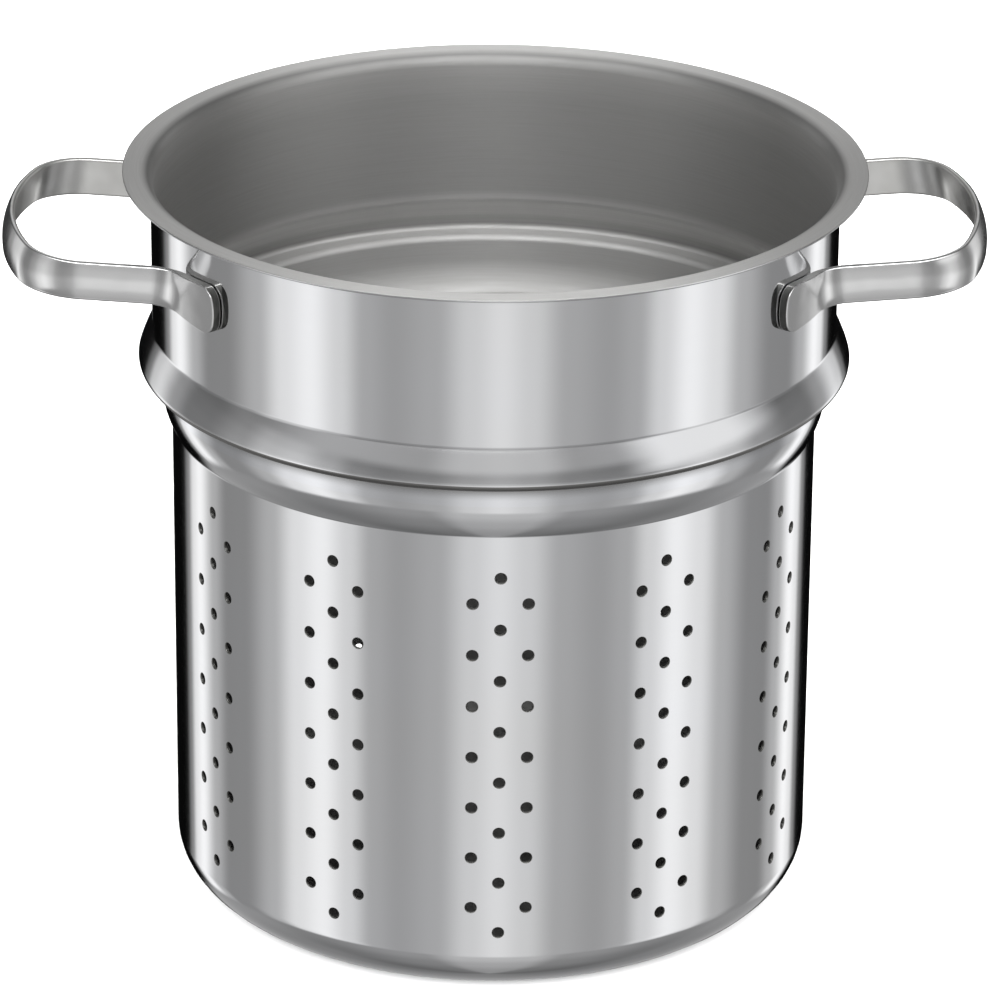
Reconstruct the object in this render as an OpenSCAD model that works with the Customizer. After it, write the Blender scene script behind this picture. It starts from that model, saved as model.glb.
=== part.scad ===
// Strainer insert for a 24 cm pasta pot: a deep-drawn steel basket with a bead that rests on the pot's
// rim, drain holes in its wall and base, and two welded strap handles.
// The origin is the centre of the base's underside. +Z is up, and the handles lie along X.

/* [Sheet] */
// Thickness of the steel sheet
sheet = 1; // [0.7:0.1:1.5]

/* [Rim and collar] */
// Inside diameter of the collar, and of the pot that the insert hangs in
collar_d = 240; // [236:1:320]
// Height of the whole insert
total_h = 268.5; // [256:0.5:340]
// Reach of the rim past the outside of the collar
rim_reach = 9.7; // [7:0.1:14]
// Bend radius on the underside of the rim
rim_bend_r = 4; // [2:0.5:5]

/* [Bead] */
// Height of the ledge that rests on the pot's rim
ledge_h = 197; // [190:0.5:210]
// Reach of the bead past the outside of the collar
bead_reach = 5; // [3:0.1:8]
// Radius of the bead's lower edge
bead_edge_r = 1.8; // [1.8:0.1:3]
// Radius between the bead's edge and its shoulder
shoulder_r = 3; // [2:0.5:8]
// Slope of the shoulder, measured from upright
shoulder_angle = 18.5; // [16:0.5:30]
// Radius in the crease between the shoulder and the collar
crease_r = 8; // [2:1:14]

/* [Neck] */
// Play between the neck and the inside of the pot, on one side
neck_play = 2; // [1:0.5:3]
// Height of the upright stretch of the neck
neck_h = 8.3; // [5:0.1:12]
// Bend radius between the neck and the ledge
ledge_bend_r = 1.5; // [1:0.1:2.5]
// Radius of the taper from the neck down to the strainer
taper_r = 24; // [16:1:40]

/* [Strainer] */
// How far the strainer's wall stands in from the neck
wall_step = 3.6; // [1:0.1:8]
// Outside radius of the corner between the wall and the base
corner_r = 17; // [10:0.5:20]

/* [Drain holes] */
// Diameter of a drain hole
hole_d = 3.9; // [2.5:0.1:5]
// Groups of hole lines round the wall
groups = 12; // [4:1:14]
// Holes in the middle line of a group
holes_in_line = 8; // [3:1:8]
// Distance from the ledge down to the highest hole's middle
top_hole_drop = 36.3; // [30:0.1:60]
// Height of the lowest hole's middle above the base
low_hole_h = 25.6; // [22:0.1:50]
// Distance between neighbouring lines of a group, along the wall
line_gap = 9.6; // [7:0.1:12]
// Rings of holes in the base, round the one in the middle
base_rings = 4; // [1:1:4]
// Distance from the base's corner bend in to the outermost ring of holes
base_margin = 20.2; // [8:0.1:30]

/* [Handles] */
// Clear reach of the grip, from the collar to the inside of its bow
grip_reach = 48.8; // [42:1:60]
// Clear width between the two legs of a handle
leg_span = 101.2; // [80:0.2:110]
// Width of the strap
strap_w = 14; // [10:0.1:18]
// Thickness of the strap at its middle
strap_t = 3.2; // [2.4:0.1:4]
// Height of the crown on the strap's outer face
strap_crown = 0.9; // [0:0.1:1.2]
// Width of the bevel on the strap's edges
strap_bevel = 0.4; // [0.2:0.1:0.6]
// Inside radius of the grip's two corners
grip_corner_r = 21; // [12:1:30]
// Inside radius of the grip's bow
grip_bow_r = 106; // [80:1:300]
// Rise of the grip, in degrees
grip_rise = 4.2; // [0:0.1:12]
// Tilt of the grip's end, in degrees, which puts the strap's lower edge outside its upper one
grip_tilt = 6.8; // [0:0.1:12]
// Radius of the bend between a leg and its foot
foot_bend_r = 12; // [6:0.5:16]
// Place of the feet on the collar, from 0 at its crease to 1 at the rim's bend
foot_place = 0.566; // [0.5:0.001:0.6]
// Width of a foot at its end
foot_w = 17; // [14:0.1:22]
// Length of a foot along the collar
foot_l = 20.4; // [18:0.1:32]
// Radius of a foot's rounded end
foot_end_r = 20; // [14:1:60]

/* [Welds] */
// Gap between a foot and the collar, which the welds bridge
weld_gap = 0.4; // [0.2:0.1:0.8]
// Diameter of a weld
weld_d = 5; // [3:0.5:6]
// Distance between the two welds of a foot
weld_spacing = 9; // [7:0.5:10]

/* [Hidden] */
steel = [0.78, 0.78, 0.78];
bright_steel = [0.85, 0.85, 0.86];
weld_steel = [0.55, 0.54, 0.53];
$fn = 96;

// Outside radii and main heights of the pressed sheet
collar_r = collar_d / 2 + sheet;
rim_r = collar_r + rim_reach;
bead_r = collar_r + bead_reach;
neck_r = collar_d / 2 - neck_play;
strainer_r = neck_r - wall_step;
bead_edge_z = ledge_h + bead_edge_r;
taper_z = ledge_h - neck_h;
hole_angle = line_gap / strainer_r * 180 / PI;
top_hole_h = ledge_h - top_hole_drop;
hole_pitch = (top_hole_h - low_hole_h) / (holes_in_line - 1);
base_pitch = (strainer_r - corner_r - base_margin) / base_rings;
arc_steps = 10;

// Points of an arc about a centre, from one angle to another
function arc(centre, r, from, to, steps = arc_steps) =
    [for (i = [0:steps]) let (a = from + (to - from) * i / steps) centre + r * [cos(a), sin(a)]];

// The sheet's section at a depth below its outside face: radius and height, from the base to the rim
function base_corner(depth) = arc([strainer_r - corner_r, corner_r], corner_r - depth, -90, 0);

function taper(depth) =
    let (middle = neck_r - taper_r, r = taper_r - depth)
    arc([middle, taper_z], r, -acos((strainer_r - depth - middle) / r), 0);

function neck_top(depth) =
    arc([neck_r + ledge_bend_r, ledge_h - ledge_bend_r], ledge_bend_r + depth, 180, 90, 5);

function bead_edge(depth) =
    concat(
        arc([bead_r - bead_edge_r, bead_edge_z], bead_edge_r - depth, -90, 0, 6),
        arc([bead_r - shoulder_r, bead_edge_z], shoulder_r - depth, 0, shoulder_angle, 3));

// The crease lies where the shoulder's straight slope would meet the collar
shoulder_run = bead_r - shoulder_r + shoulder_r * cos(shoulder_angle) - collar_r;
crease_z = bead_edge_z + shoulder_r * sin(shoulder_angle) + shoulder_run / tan(shoulder_angle);
collar_bottom = crease_z + crease_r * tan(shoulder_angle / 2);
collar_top = total_h - sheet - rim_bend_r;

function crease(depth) =
    arc([collar_r + crease_r, collar_bottom], crease_r + depth, 180 + shoulder_angle, 180, 4);

function rim_bend(depth) =
    arc([collar_r + rim_bend_r, collar_top], rim_bend_r + depth, 180, 90);

function face_line(depth) =
    concat(
        [[0, depth]], base_corner(depth), taper(depth), neck_top(depth),
        bead_edge(depth), crease(depth), rim_bend(depth));

function reversed(points) = [for (i = [len(points) - 1:-1:0]) points[i]];

function lip() = arc([rim_r - sheet / 2, total_h - sheet / 2], sheet / 2, -90, 90, 6);

module pressed_sheet() {
    rotate_extrude() polygon(concat(face_line(0), lip(), reversed(face_line(sheet))));
}

module wall_hole(angle, z) {
    rotate([0, 0, angle])
        translate([strainer_r - 2 * sheet, 0, z])
            rotate([0, 90, 0])
                cylinder(d = hole_d, h = 3 * sheet, $fn = 24);
}

// A group has a middle line of holes and a shorter line on each side, half a pitch lower
module wall_holes() {
    for (g = [0:groups - 1]) {
        middle = -90 + g * 360 / groups;
        for (i = [0:holes_in_line - 1]) wall_hole(middle, top_hole_h - i * hole_pitch);
        for (side = [-1, 1], i = [0:holes_in_line - 2])
            wall_hole(middle + side * hole_angle, top_hole_h - (i + 0.5) * hole_pitch);
    }
}

module base_hole(x) {
    translate([x, 0, -sheet]) cylinder(d = hole_d, h = 3 * sheet, $fn = 24);
}

module base_holes() {
    base_hole(0);
    for (ring = [1:base_rings], i = [0:6 * ring - 1])
        rotate([0, 0, i * 60 / ring]) base_hole(ring * base_pitch);
}

module strainer_body() {
    color(steel)
        difference() {
            pressed_sheet();
            wall_holes();
            base_holes();
        }
}

// The strap's inside face in plan, for the half of a handle with y above 0.
// The grip is a bow, a corner and a straight leg. The leg bends into a foot that follows the collar.
bow_x = collar_r + grip_reach - grip_bow_r;
leg_y = leg_span / 2;
corner_y = leg_y - grip_corner_r;
corner_x = bow_x + sqrt(pow(grip_bow_r - grip_corner_r, 2) - pow(corner_y, 2));
bow_end = atan2(corner_y, corner_x - bow_x);
foot_r = collar_r + weld_gap;
bend_in_r = foot_bend_r + strap_t;
bend_y = leg_y + bend_in_r;
bend_x = sqrt(pow(foot_r + bend_in_r, 2) - pow(bend_y, 2));
foot_start = atan2(bend_y, bend_x);
foot_end_angle = foot_start + foot_l / foot_r * 180 / PI;
foot_z = collar_bottom + foot_place * (collar_top - collar_bottom);

bow_steps = 8;
corner_steps = 10;
bend_steps = 8;
foot_steps = 6;
crown_steps = 6;
// The foot's flat steps touch the circle that the welds end on
foot_face_r = foot_r / cos((foot_end_angle - foot_start) / foot_steps / 2);

// Stations along the strap: [point, direction from the inside face to the outside, share of the bend
// that lies behind, share of the foot that lies behind, share of the grip's tilt]
function heading(a) = [cos(a), sin(a)];
function bow_stations() =
    [for (i = [0:bow_steps - 1]) let (a = bow_end * i / bow_steps)
        [[bow_x, 0] + grip_bow_r * heading(a), heading(a), 0, 0, 1]];
function corner_stations() =
    [for (i = [0:corner_steps]) let (a = bow_end + (90 - bow_end) * i / corner_steps)
        [[corner_x, corner_y] + grip_corner_r * heading(a), heading(a), 0, 0, 1 - smooth(i / corner_steps)]];
function bend_stations() =
    [for (i = [0:bend_steps]) let (a = 270 - (90 - foot_start) * i / bend_steps)
        [[bend_x, bend_y] + bend_in_r * heading(a), -heading(a), i / bend_steps, 0, 0]];
function foot_stations() =
    [for (i = [1:foot_steps]) let (a = foot_start + (foot_end_angle - foot_start) * i / foot_steps)
        [foot_face_r * heading(a), heading(a), 1, i / foot_steps, 0]];
function half_strap() =
    concat(bow_stations(), corner_stations(), bend_stations(), foot_stations());
function mirrored(s) = [[s[0][0], -s[0][1]], [s[1][0], -s[1][1]], s[2], s[3], s[4]];
function whole_strap() =
    let (half = half_strap())
    concat([for (i = [len(half) - 1:-1:1]) mirrored(half[i])], half);

function smooth(u) = u * u * (3 - 2 * u);

// The strap's section: [outwards, upwards] points, with a crowned outside face on the grip
function section(width, edge_t, crown) =
    let (top = width / 2, side = top - strap_bevel)
    concat(
        [[0, -side], [0, side], [strap_bevel, top], [edge_t - strap_bevel, top], [edge_t, side]],
        [for (i = [1:crown_steps - 1]) let (v = 1 - 2 * i / crown_steps)
            [edge_t + crown * (1 - v * v), v * side]],
        [[edge_t, -side], [edge_t - strap_bevel, -top], [strap_bevel, -top]]);

// A foot's end is an arc, so its upper and lower corners end short of its middle
function end_setback(v) = foot_end_r - sqrt(pow(foot_end_r, 2) - v * v);

function turned(point, a) =
    [point[0] * cos(a) - point[1] * sin(a), point[0] * sin(a) + point[1] * cos(a)];

function raised(point, angle) =
    let (x = point[0] - foot_r * cos(foot_start), z = point[2])
    [x * cos(angle) - z * sin(angle) + foot_r * cos(foot_start),
        point[1], x * sin(angle) + z * cos(angle) + foot_z];

function ring(s) =
    let (
        flat = smooth(max(0, 2 * s[2] - 1)),
        crown = strap_crown * (1 - flat),
        width = strap_w + (foot_w - strap_w) * smooth((s[2] + 2 * s[3]) / 3),
        side = sign(s[0][1]),
        rise = grip_rise * (1 - smooth(s[2])))
    [for (q = section(width, strap_t - crown, crown))
        let (
            p = turned(q, grip_tilt * s[4]),
            setback = -side * s[3] * end_setback(p[1]) / foot_r * 180 / PI,
            plan = turned(s[0] + p[0] * s[1], setback))
        raised([plan[0], plan[1], p[1]], rise)];

module strap() {
    rings = [for (s = whole_strap()) ring(s)];
    n = len(rings[0]);
    last = len(rings) - 1;
    points = [for (r = rings, p = r) p];
    sides = [for (k = [0:last - 1], i = [0:n - 1])
        let (a = k * n + i, b = k * n + (i + 1) % n)
        each [[a, b, b + n], [a, b + n, a + n]]];
    start_cap = [for (i = [1:n - 2]) [0, i + 1, i]];
    end_cap = [for (i = [1:n - 2]) [last * n, last * n + i, last * n + i + 1]];
    polyhedron(points, concat(sides, start_cap, end_cap), convexity = 6);
}

module handle_right() {
    color(bright_steel) strap();
}

module handle_left() {
    color(bright_steel) mirror([1, 0, 0]) strap();
}

// A weld is a short plug between the collar and a foot
module weld(angle) {
    intersection() {
        difference() {
            cylinder(r = foot_r, h = total_h);
            translate([0, 0, -1]) cylinder(r = collar_r, h = total_h + 2);
        }
        rotate([0, 0, angle])
            translate([collar_r - sheet, 0, foot_z])
                rotate([0, 90, 0])
                    cylinder(d = weld_d, h = 3 * sheet, $fn = 32);
    }
}

module handle_welds_right() {
    middle = (foot_start + foot_end_angle) / 2;
    step = weld_spacing / 2 / collar_r * 180 / PI;
    color(weld_steel)
        for (side = [-1, 1], place = [-1, 1]) weld(side * (middle + place * step));
}

module handle_welds_left() {
    mirror([1, 0, 0]) handle_welds_right();
}

strainer_body();
handle_left();
handle_right();
handle_welds_left();
handle_welds_right();
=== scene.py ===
import math

import bmesh
import bpy
from bpy.props import FloatProperty, IntProperty, PointerProperty, StringProperty
from mathutils import Matrix, Vector


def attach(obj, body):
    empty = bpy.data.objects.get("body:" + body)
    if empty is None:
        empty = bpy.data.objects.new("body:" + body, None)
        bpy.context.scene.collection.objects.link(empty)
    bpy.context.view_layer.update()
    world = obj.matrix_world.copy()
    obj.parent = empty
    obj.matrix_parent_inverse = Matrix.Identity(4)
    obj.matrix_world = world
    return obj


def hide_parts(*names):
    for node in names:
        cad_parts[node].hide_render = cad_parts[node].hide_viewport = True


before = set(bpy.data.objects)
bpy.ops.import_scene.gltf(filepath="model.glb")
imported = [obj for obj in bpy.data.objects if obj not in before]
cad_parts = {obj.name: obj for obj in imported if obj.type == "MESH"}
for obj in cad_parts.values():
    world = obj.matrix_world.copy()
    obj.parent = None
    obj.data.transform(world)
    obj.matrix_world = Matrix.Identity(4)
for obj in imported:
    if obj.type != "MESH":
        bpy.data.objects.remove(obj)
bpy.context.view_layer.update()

bl_info = {
    "name": "Pasta Strainer Insert",
    "version": (1, 0, 0),
    "blender": (4, 5, 0),
    "location": "View3D > Sidebar > Strainer",
    "description": "Spun and punched strainer body, strap handles and a light tent",
    "category": "Add Mesh",
}

# The number of columns that the body is spun in. A group of holes spans 25 of them.
COLUMNS = 300
COLUMN = math.tau / COLUMNS


# Sizes and colours


def length(name, value, description):
    return FloatProperty(name=name, default=value / 1000, description=description,
                         unit="LENGTH", subtype="DISTANCE", precision=4)


def degrees(name, value, description):
    return FloatProperty(name=name, default=math.radians(value), description=description,
                         unit="ROTATION", subtype="ANGLE")


def hex_colour(name, value, description):
    return StringProperty(name=name, default=value, description=description + ", as sRGB hex")


class SheetSizes(bpy.types.PropertyGroup):
    """The pressed sheet, from its base to its rim."""

    sheet: length("Sheet", 1, "Thickness of the steel sheet")
    collar_d: length("Collar", 240, "Inside diameter of the collar")
    total_h: length("Height", 268.5, "Height of the whole insert")
    rim_reach: length("Rim reach", 9.7, "Reach of the rim past the collar")
    rim_bend_r: length("Rim bend", 4, "Bend radius on the rim's underside")
    ledge_h: length("Ledge height", 197, "Height of the ledge that rests on a pot")
    bead_reach: length("Bead reach", 5, "Reach of the bead past the collar")
    bead_edge_r: length("Bead edge", 2.4, "Radius of the bead's lower edge")
    shoulder_r: length("Shoulder", 3.6, "Radius between the bead's edge and its shoulder")
    shoulder_angle: degrees("Shoulder slope", 30, "Steepest slope of the shoulder, from upright")
    crease_r: length("Crease", 3, "Radius in the crease above the shoulder")
    collar_bottom: length("Collar bottom", 212, "Height where the collar turns into the crease")
    neck_play: length("Neck play", 2, "Play between the neck and the pot")
    neck_h: length("Neck height", 8.3, "Height of the neck's upright stretch")
    ledge_bend_r: length("Ledge bend", 1.5, "Radius between the neck and the ledge")
    taper_r: length("Taper", 24, "Radius of the taper under the neck")
    taper_fillet_r: length("Taper fillet", 1.2, "Radius where the taper meets the wall")
    wall_step: length("Wall step", 3.6, "How far the wall stands in from the neck")
    corner_r: length("Corner", 17, "Radius of the corner between wall and base")


class HoleSizes(bpy.types.PropertyGroup):
    """The drain holes in the wall and the base."""

    hole_d: length("Hole", 3.9, "Diameter of a drain hole")
    edge_r: length("Edge rounding", 0.28, "Rounding that the punch leaves on a hole's edge")
    groups: IntProperty(name="Groups", default=12, description="Groups of hole lines")
    in_line: IntProperty(name="Holes in line", default=8, description="Holes in a middle line")
    top_hole_drop: length("Top hole drop", 36.3, "From the ledge down to the top hole")
    low_hole_h: length("Lowest hole", 25.6, "Height of the lowest hole")
    cell_h: length("Cell", 7, "Height of the patch of wall around a hole")
    base_rings: IntProperty(name="Base rings", default=4, description="Rings in the base")
    base_margin: length("Base margin", 20.2, "From the corner in to the outer ring of holes")


class HandleSizes(bpy.types.PropertyGroup):
    """The two strap handles."""

    grip_reach: length("Grip reach", 48.8, "Clear reach from the collar to the grip")
    leg_span: length("Leg span", 101.2, "Clear width between a handle's legs")
    strap_w: length("Strap width", 14, "Width of the strap")
    strap_t: length("Strap thickness", 3.2, "Thickness of the strap at its middle")
    strap_crown: length("Crown", 0.9, "Height of the crown on the outer face")
    strap_edge_r: length("Edge", 1, "Rounding of the strap's edges in the grip")
    foot_edge_r: length("Foot edge", 0.3, "Rounding of the strap's edges in a foot")
    foot_corner_r: length("Foot corner", 4.2, "Radius of a foot's corners")
    grip_corner_r: length("Grip corner", 21, "Inside radius of the grip's corners")
    grip_bow_r: length("Grip bow", 106, "Inside radius of the grip's bow")
    grip_rise: degrees("Grip rise", 4.2, "Rise of the grip")
    grip_tilt: degrees("Grip tilt", 6.8, "Tilt of the grip's end, its lower edge outwards")
    foot_bend_r: length("Foot bend", 12, "Radius between a leg and its foot")
    foot_h: length("Foot height", 242.6832, "Height of the middle of the feet")
    foot_w: length("Foot width", 17, "Width of a foot at its end")
    foot_l: length("Foot length", 20.4, "Length of a foot along the collar")
    foot_end_r: length("Foot end", 20, "Radius of a foot's rounded end")
    weld_gap: length("Weld gap", 0.4, "Gap between a foot and the collar")
    step: length("Step", 1.2, "Distance between two sections of the strap")


class Finishes(bpy.types.PropertyGroup):
    """Colours of the finishes and of the studio."""

    polished: hex_colour("Polished steel", "#dedfe2", "Buffed 18/10 steel")
    polished_warm: hex_colour("Polished steel, warmer", "#dbdbdb", "Where the buffing wanders")
    # The satin colours are multiplied by the painted shade and painted highlights by height in
    # satin_steel
    satin: hex_colour("Satin steel", "#fbfbfa", "Brush lines, over the brushing's own brightness")
    satin_dark: hex_colour("Satin steel, darker", "#f0efed", "Deeper brush lines")
    # Darker ledge colours: painted shade under the bead, over the scuffed steel
    scuffed_and_shaded_ledge: hex_colour("Scuffed steel", "#8a8988", "The ledge where it rubs on a pot")
    scuffed_and_shaded_ledge_dark: hex_colour("Scuffed steel, darker", "#7d7c7a", "Deeper scuffs")
    cut: hex_colour("Cut edge", "#6a6a68", "Sheared steel in the holes and at the straps' ends")
    handle: hex_colour("Handle steel", "#e0e0e0", "Polished strap steel")
    ground: hex_colour("Ground steel", "#d6d6d4", "Ground faces of the straps")
    ground_dark: hex_colour("Ground steel, darker", "#c6c5c2", "Duller patches of the ground faces")
    weld: hex_colour("Weld", "#8e8a84", "Dull weld metal")
    weld_tint: hex_colour("Weld tint", "#7d7263", "Straw tint of heated steel")
    floor: hex_colour("Floor", "#f6f6f6", "Pale matt paper")


class StageSizes(bpy.types.PropertyGroup):
    """The camera and the floor."""

    distance: length("Distance", 1987.6, "Level distance from the axis to the camera")
    height: length("Height", 993.6, "Height of the camera above the base")
    turn: degrees("Turn", -1.466, "Turn of the view round the axis")
    tilt: degrees("Tilt", 23.223, "Tilt of the view down from level")
    lens: FloatProperty(name="Lens", default=217.03, description="Focal length in millimetres")
    floor_size: length("Floor", 6000, "Side of the floor")


PROPERTIES = {
    "strainer_sheet": SheetSizes,
    "strainer_holes": HoleSizes,
    "strainer_handle": HandleSizes,
    "strainer_finish": Finishes,
    "strainer_stage": StageSizes,
}


# Sections


def bend(centre, radius, start, end, steps, hollow=False):
    """An arc of the section: radius, height and outward normal of each point."""
    side = -1 if hollow else 1
    points = []
    for i in range(steps + 1):
        a = start + (end - start) * i / steps
        c, s = math.cos(a), math.sin(a)
        points.append((centre[0] + radius * c, centre[1] + radius * s, side * c, side * s))
    return points


class Sheet:
    """Radii and heights that the body, the holes and the handles share."""

    def __init__(self, s, h):
        self.s, self.h = s, h
        self.collar_r = s.collar_d / 2 + s.sheet
        self.rim_r = self.collar_r + s.rim_reach
        self.bead_r = self.collar_r + s.bead_reach
        self.neck_r = s.collar_d / 2 - s.neck_play
        self.wall_r = self.neck_r - s.wall_step
        self.bead_z = s.ledge_h + s.bead_edge_r
        self.taper_z = s.ledge_h - s.neck_h
        # The shoulder bulges a little: an arc from the crease's end to the bead's rounding
        slope = Vector((math.cos(s.shoulder_angle), math.sin(s.shoulder_angle)))
        crease_end = Vector((self.collar_r + s.crease_r, s.collar_bottom)) - s.crease_r * slope
        bead = Vector((self.bead_r - s.shoulder_r, self.bead_z))
        gap = crease_end - bead
        self.bulge_r = (gap.dot(gap) - s.shoulder_r ** 2) / (2 * (gap.dot(slope) - s.shoulder_r))
        self.bulge = crease_end - self.bulge_r * slope
        self.bulge_end = math.atan2(bead.y - self.bulge.y, bead.x - self.bulge.x)
        self.collar_top = s.total_h - s.sheet - s.rim_bend_r
        self.top_hole = s.ledge_h - h.top_hole_drop
        self.pitch = (self.top_hole - h.low_hole_h) / (h.in_line - 1)

    def hole_rows(self):
        """Heights of all rows of holes. Every second one belongs to the side lines."""
        return [self.h.low_hole_h + i * self.pitch / 2 for i in range(2 * self.h.in_line - 1)]

    def face(self, depth):
        """One face of the sheet at a depth below the outside, from the base's corner to the rim."""
        s = self.s
        right = math.pi / 2
        middle = self.neck_r - s.taper_r
        fillet_x = self.wall_r + s.taper_fillet_r
        reach = s.taper_r + s.taper_fillet_r
        fillet_z = self.taper_z - math.sqrt(reach ** 2 - (fillet_x - middle) ** 2)
        slope = math.asin((self.taper_z - fillet_z) / reach)
        points = bend((self.wall_r - s.corner_r, s.corner_r), s.corner_r - depth, -right, 0, 9)
        for z in self.hole_rows():
            for end in (z - self.h.cell_h / 2, z + self.h.cell_h / 2):
                points.append((self.wall_r - depth, end, 1, 0))
        points += bend((fillet_x, fillet_z), s.taper_fillet_r + depth,
                       math.pi, math.pi - slope, 3, hollow=True)
        points += bend((middle, self.taper_z), s.taper_r - depth, -slope, 0, 6)[1:]
        points += bend((self.neck_r + s.ledge_bend_r, s.ledge_h - s.ledge_bend_r),
                       s.ledge_bend_r + depth, math.pi, right, 5, hollow=True)
        points += bend((self.bead_r - s.bead_edge_r, self.bead_z),
                       s.bead_edge_r - depth, -right, 0, 6)
        points += bend((self.bead_r - s.shoulder_r, self.bead_z),
                       s.shoulder_r - depth, 0, self.bulge_end, 4)[1:]
        points += bend(self.bulge, self.bulge_r - depth, self.bulge_end, s.shoulder_angle, 4)[1:]
        points += bend((self.collar_r + s.crease_r, s.collar_bottom), s.crease_r + depth,
                       math.pi + s.shoulder_angle, math.pi, 6, hollow=True)[1:]
        points += bend((self.collar_r + s.rim_bend_r, self.collar_top),
                       s.rim_bend_r + depth, math.pi, right, 7, hollow=True)
        return points

    def section(self):
        """The sheet's whole section, up the outside, over the lip and down the inside."""
        s = self.s
        lip = bend((self.rim_r - s.sheet / 2, s.total_h - s.sheet / 2), s.sheet / 2,
                   -math.pi / 2, math.pi / 2, 6)
        inside = [(r, z, -nr, -nz) for r, z, nr, nz in reversed(self.face(s.sheet))]
        return self.face(0) + lip + inside


# Mesh helpers


def add_edges(bm, verts):
    """Edges that join these vertices in a row."""
    return [bm.edges.new(pair) for pair in zip(verts, verts[1:])]


def only(kind, geometry):
    """The vertices, edges or faces among what an operator made."""
    return [item for item in geometry if isinstance(item, kind)]


def extrude_ring(bm, edges):
    """A new ring of vertices and edges, joined by faces to the ring that it lies on."""
    made = bmesh.ops.extrude_edge_only(bm, edges=edges)["geom"]
    verts = only(bmesh.types.BMVert, made)
    new = set(verts)
    return verts, [e for e in only(bmesh.types.BMEdge, made) if new.issuperset(e.verts)]


def copy_of(bm, faces):
    """A copy of some faces, with their edges and vertices."""
    geometry = dict.fromkeys(item for f in faces for item in (f, *f.edges, *f.verts))
    return bmesh.ops.duplicate(bm, geom=list(geometry))["geom"]


def finish_piece(bm, name, materials, normals=None):
    """The bmesh as an object of the scene. A normal of None keeps Blender's own."""
    mesh = bpy.data.meshes.new(name)
    bm.to_mesh(mesh)
    bm.free()
    mesh.shade_smooth()
    for material in materials:
        mesh.materials.append(material)
    mesh.validate()
    if normals:
        mesh.normals_split_custom_set([n or (0, 0, 0) for n in normals(mesh)])
    piece = bpy.data.objects.new(name, mesh)
    bpy.context.scene.collection.objects.link(piece)
    return piece


# Body


POLISHED, SATIN, CUT, SCUFFED_AND_SHADED = 0, 1, 2, 3

# A face of the sheet gets the satin finish where its normal points in or up by more than this
BRUSHED_IN = -0.01
BRUSHED_UP = 0.5

# The angle between two neighbouring lines of holes
LINE_GAP = 4 * COLUMN

# How far a face's middle may be from the wall, from a row of holes and from a line of holes to
# belong to them, in metres and as an angle
NEAR_WALL = 0.0003
NEAR_ROW = 0.0001
NEAR_LINE = 1.4 * COLUMN

# The sides that a hole is drawn with, and the shares of its rounded edge that get a ring
HOLE_SIDES = 16
EDGE_SHARES = (0.45, 1)

# Vertices closer than this are one, in metres. A hole's patch fits the wall less closely.
MERGE = 1e-6
PATCH_MERGE = 4e-6


def spin_sheet(bm, sheet):
    """The sheet without holes, spun from its section. The normals ride along as an attribute."""
    facing = bm.verts.layers.float_vector.new("section_normal")
    section = sheet.section()
    start = -COLUMN / 2
    verts = []
    for r, z, nr, nz in section:
        vert = bm.verts.new((r * math.cos(start), r * math.sin(start), z))
        vert[facing] = (nr, nz, 0)
        verts.append(vert)
    edges = add_edges(bm, verts)
    bmesh.ops.spin(bm, geom=verts + edges, axis=(0, 0, 1), angle=math.tau, steps=COLUMNS,
                   use_merge=True)
    for face in bm.faces:
        out, up = (sum(v[facing][i] for v in face.verts) / len(face.verts) for i in (0, 1))
        z = face.calc_center_median().z
        if out < BRUSHED_IN or up > BRUSHED_UP:
            face.material_index = SATIN
        # The neck and ledge under the bead get the scuffed steel, whose darker colour is painted
        # shade
        elif sheet.taper_z < z < sheet.bead_z:
            face.material_index = SCUFFED_AND_SHADED


def lines_of_row(i):
    """Angles of a group's lines that have a hole in a row: the middle line or the side lines."""
    return (0,) if i % 2 == 0 else (-LINE_GAP, LINE_GAP)


def is_cell(sheet, face):
    """True for a face of the spun wall that a hole's patch takes the place of."""
    centre = face.calc_center_median()
    depth = sheet.wall_r - math.hypot(centre.x, centre.y)
    if not -NEAR_WALL < depth < sheet.s.sheet + NEAR_WALL:
        return False
    turn = math.tau / sheet.h.groups
    a = (math.atan2(centre.y, centre.x) + turn / 2) % turn - turn / 2
    for i, z in enumerate(sheet.hole_rows()):
        if abs(centre.z - z) < NEAR_ROW:
            return any(abs(a - line) < NEAR_LINE for line in lines_of_row(i))
    return False


def ring_of(bm, radius, place):
    """A circle of vertices and edges, as wide as a hole."""
    verts = bmesh.ops.create_circle(bm, radius=radius, segments=HOLE_SIDES, matrix=place)["verts"]
    return verts, list(dict.fromkeys(e for v in verts for e in v.link_edges))


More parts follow.
